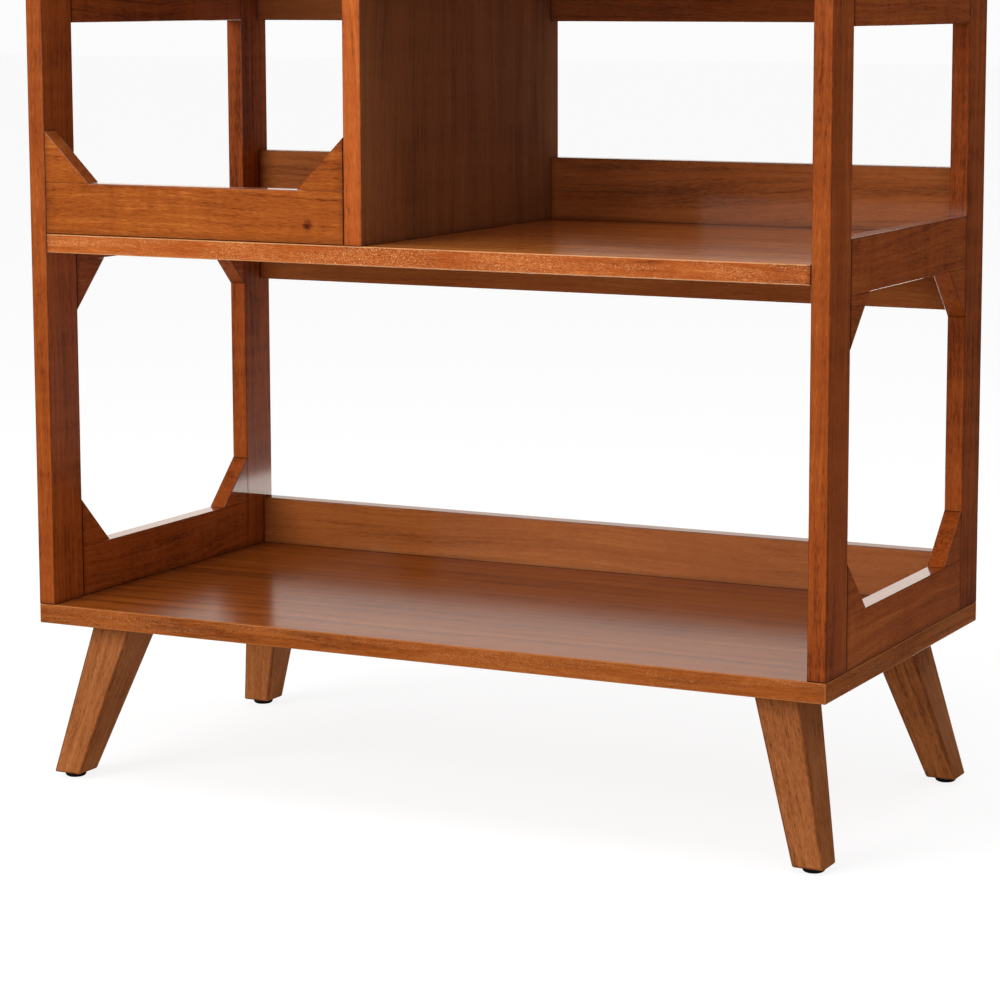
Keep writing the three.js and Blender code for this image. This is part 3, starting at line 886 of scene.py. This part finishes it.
def glide_button():
    """A round sole on the floor that is drawn up ring by ring along the profile."""
    radius, low = GLIDE_PROFILE[0]
    place = (middle_of(FOOT_X), middle_of(FOOT_Y))
    bpy.ops.object.select_all(action="DESELECT")
    bpy.ops.mesh.primitive_circle_add(
        vertices=ROUND, radius=radius, fill_type="NGON", calc_uvs=False, location=(*place, low)
    )
    button = bpy.context.object
    bpy.ops.object.transform_apply(location=True, rotation=True, scale=True)
    bpy.ops.object.mode_set(mode="EDIT")
    bpy.ops.mesh.select_all(action="SELECT")
    for wider, higher in GLIDE_PROFILE[1:]:
        bpy.ops.mesh.extrude_region_move(TRANSFORM_OT_translate={"value": (0, 0, higher - low)})
        share = wider / radius
        bpy.ops.transform.resize(value=(share, share, 1), center_override=(*place, higher))
        radius, low = wider, higher
    bpy.ops.mesh.select_all(action="SELECT")
    bpy.ops.mesh.normals_make_consistent(inside=False)
    bpy.ops.object.mode_set(mode="OBJECT")
    bpy.ops.object.shade_smooth_by_angle(angle=SHARPEST_SMOOTH)
    return button


def moulded_plastic():
    """Black plastic, scuffed and a little dusty."""
    material = bpy.data.materials.new("glide_plastic")
    nodes = Nodes(material)
    here = nodes.add("TexCoord", out="Object")
    scuffs = nodes.step(nodes.noise(here, (500, 500, 90), detail=3), 0.5, 0.75)
    dust = nodes.step(nodes.noise(here, (140, 140, 140), detail=3), 0.45, 0.8)
    nodes.surface(
        Base_Color=nodes.mix(dust * 0.35, colour(17, 13, 11), colour(58, 50, 44)),
        Roughness=0.24 + scuffs * 0.2,
        Normal=nodes.bump(scuffs, strength=0.15, depth=0.0002),
    )
    return material


glide_plastic = moulded_plastic()
first_glide = glide_button()
for corner, signs in CORNERS.items():
    glide = copy_to(first_glide, f"glide_{corner}_button", signs)
    dress(glide, f"glide_{corner}", glide_plastic)
bpy.data.objects.remove(first_glide)


# ---- Bolts, inserts and cam fittings ----
# Zinc-plated steel hanger bolts, threaded inserts and cam bolts, all hidden in the wood, and cast cam locks
# that show in the underside of the middle shelf. They keep the frame's own solids.


def plated(name, tint, roughness):
    """Metal with a fine grit and cloudy patches, as plating or casting leaves it."""
    material = bpy.data.materials.new(name)
    nodes = Nodes(material)
    here = nodes.add("TexCoord", out="Object")
    clouds = nodes.noise(here, (420, 420, 420), detail=3)
    grit = nodes.noise(here, (2600, 2600, 2600), detail=1)
    nodes.surface(
        Base_Color=nodes.mix(clouds, darker(tint, 0.75), tint),
        Metallic=1,
        Roughness=roughness + clouds * 0.15,
        Normal=nodes.bump(grit, strength=0.12, depth=0.0001),
    )
    return material


zinc_steel = plated("zinc_steel", colour(200, 202, 204), 0.25)
cam_metal = plated("cam_metal", colour(176, 176, 178), 0.4)

for name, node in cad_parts.items():
    if name.startswith(("hanger_bolt", "insert_nut")) or "cam_bolt" in name:
        node.material_slots[0].material = zinc_steel
    elif "cam_lock" in name:
        node.material_slots[0].material = cam_metal


# ---- Floor, light and camera ----
# A plain pale floor in a bright studio: a large soft key light from the front left, a weak fill from the
# right, one overhead and light from all round. The lacquer mirrors a white screen behind the stand and a
# white card on the floor there. The camera looks on from the photograph's direction.

FLOOR_SIZE = 60
FLOOR_GREY = colour(130, 130, 130)
FLOOR_GLOW, FLOOR_GLOW_SEEN = 0.4, 0.85  # as a light, and as the camera sees it
ROUND_LIGHT, ROUND_MIRRORED, ROUND_SEEN = 0.45, 0.02, 0.97  # as a light, in the lacquer, and to the camera
LAMP_WHITE = (1, 1, 1)
SCREEN_WHITE = (1, 0.95, 0.88)

bpy.ops.object.select_all(action="DESELECT")
bpy.ops.mesh.primitive_plane_add(size=FLOOR_SIZE, location=(0, 0, 0))
floor = bpy.context.object
floor.name = "floor"
paper = bpy.data.materials.new("floor_paper")
nodes = Nodes(paper)
seen = nodes.add("LightPath", out="Is Camera Ray")
nodes.surface(
    Base_Color=FLOOR_GREY,
    Roughness=0.9,
    Specular_IOR_Level=0.0,
    Emission_Color=(1, 1, 1, 1),
    Emission_Strength=FLOOR_GLOW + seen * (FLOOR_GLOW_SEEN - FLOOR_GLOW),
)
floor.data.materials.append(paper)
floor.visible_glossy = False

world = bpy.data.worlds.new("studio")
bpy.context.scene.world = world
nodes = Nodes(world)
seen = nodes.add("LightPath", out="Is Camera Ray")
mirrored = nodes.add("LightPath", out="Is Glossy Ray")
strength = ROUND_LIGHT - mirrored * (ROUND_LIGHT - ROUND_MIRRORED) + seen * (ROUND_SEEN - ROUND_LIGHT)
background = nodes.add("Background", {}, {"Color": (1, 1, 1, 1), "Strength": strength})
nodes.add("OutputWorld", {}, {"Surface": background})


def add_light(name, place, target, size, brightness, gloss_only):
    """A rectangular light that faces a point, with its brightness as a surface."""
    light = bpy.data.lights.new(name, "AREA")
    light.shape = "RECTANGLE"
    light.color = SCREEN_WHITE if gloss_only else LAMP_WHITE
    light.size, light.size_y = size
    light.energy = brightness * math.pi * size[0] * size[1]
    lamp = bpy.data.objects.new(name, light)
    bpy.context.collection.objects.link(lamp)
    lamp.location = place
    lamp.rotation_euler = (Vector(target) - Vector(place)).to_track_quat("-Z", "Y").to_euler()
    lamp.visible_camera = False
    lamp.visible_diffuse = not gloss_only


LIGHTS = (
    # name, place, target, width and height, brightness, whether it shows in the lacquer alone
    ("key", (-1.9, -4.0, 2.0), (0, 0, 0.45), (2.6, 2.2), 6.7, False),
    ("fill", (2.4, -3.7, 0.9), (0, 0, 0.5), (2.0, 1.6), 2.2, False),
    ("overhead", (0, -0.6, 3.2), (0, 0, 0), (2.4, 1.8), 2.5, False),
    ("screen", (-1.7, 3.4, 1.1), (0, 0, 0.6), (3.2, 2.4), 1.6, True),
    ("card", (-0.3, 1.25, 0.004), (-0.3, 1.25, 1), (1.5, 1.7), 5, True),
)
for light in LIGHTS:
    add_light(*light)

CAMERA_PLACE = (1.3713, -2.6946, 0.7753)
CAMERA_DIP, CAMERA_TURN = 8.002, 25.819  # degrees below the level, and from straight ahead to the left
LENS, SENSOR = 111.94, 36
SHIFT = (-0.0703, -0.07)

camera = bpy.data.objects.new("camera", bpy.data.cameras.new("camera"))
bpy.context.collection.objects.link(camera)
camera.location = CAMERA_PLACE
camera.rotation_euler = (math.radians(90 - CAMERA_DIP), 0, math.radians(CAMERA_TURN))
camera.data.sensor_width = SENSOR
camera.data.lens = LENS
camera.data.shift_x, camera.data.shift_y = SHIFT
bpy.context.scene.camera = camera
bpy.context.scene.view_settings.view_transform = "Standard"
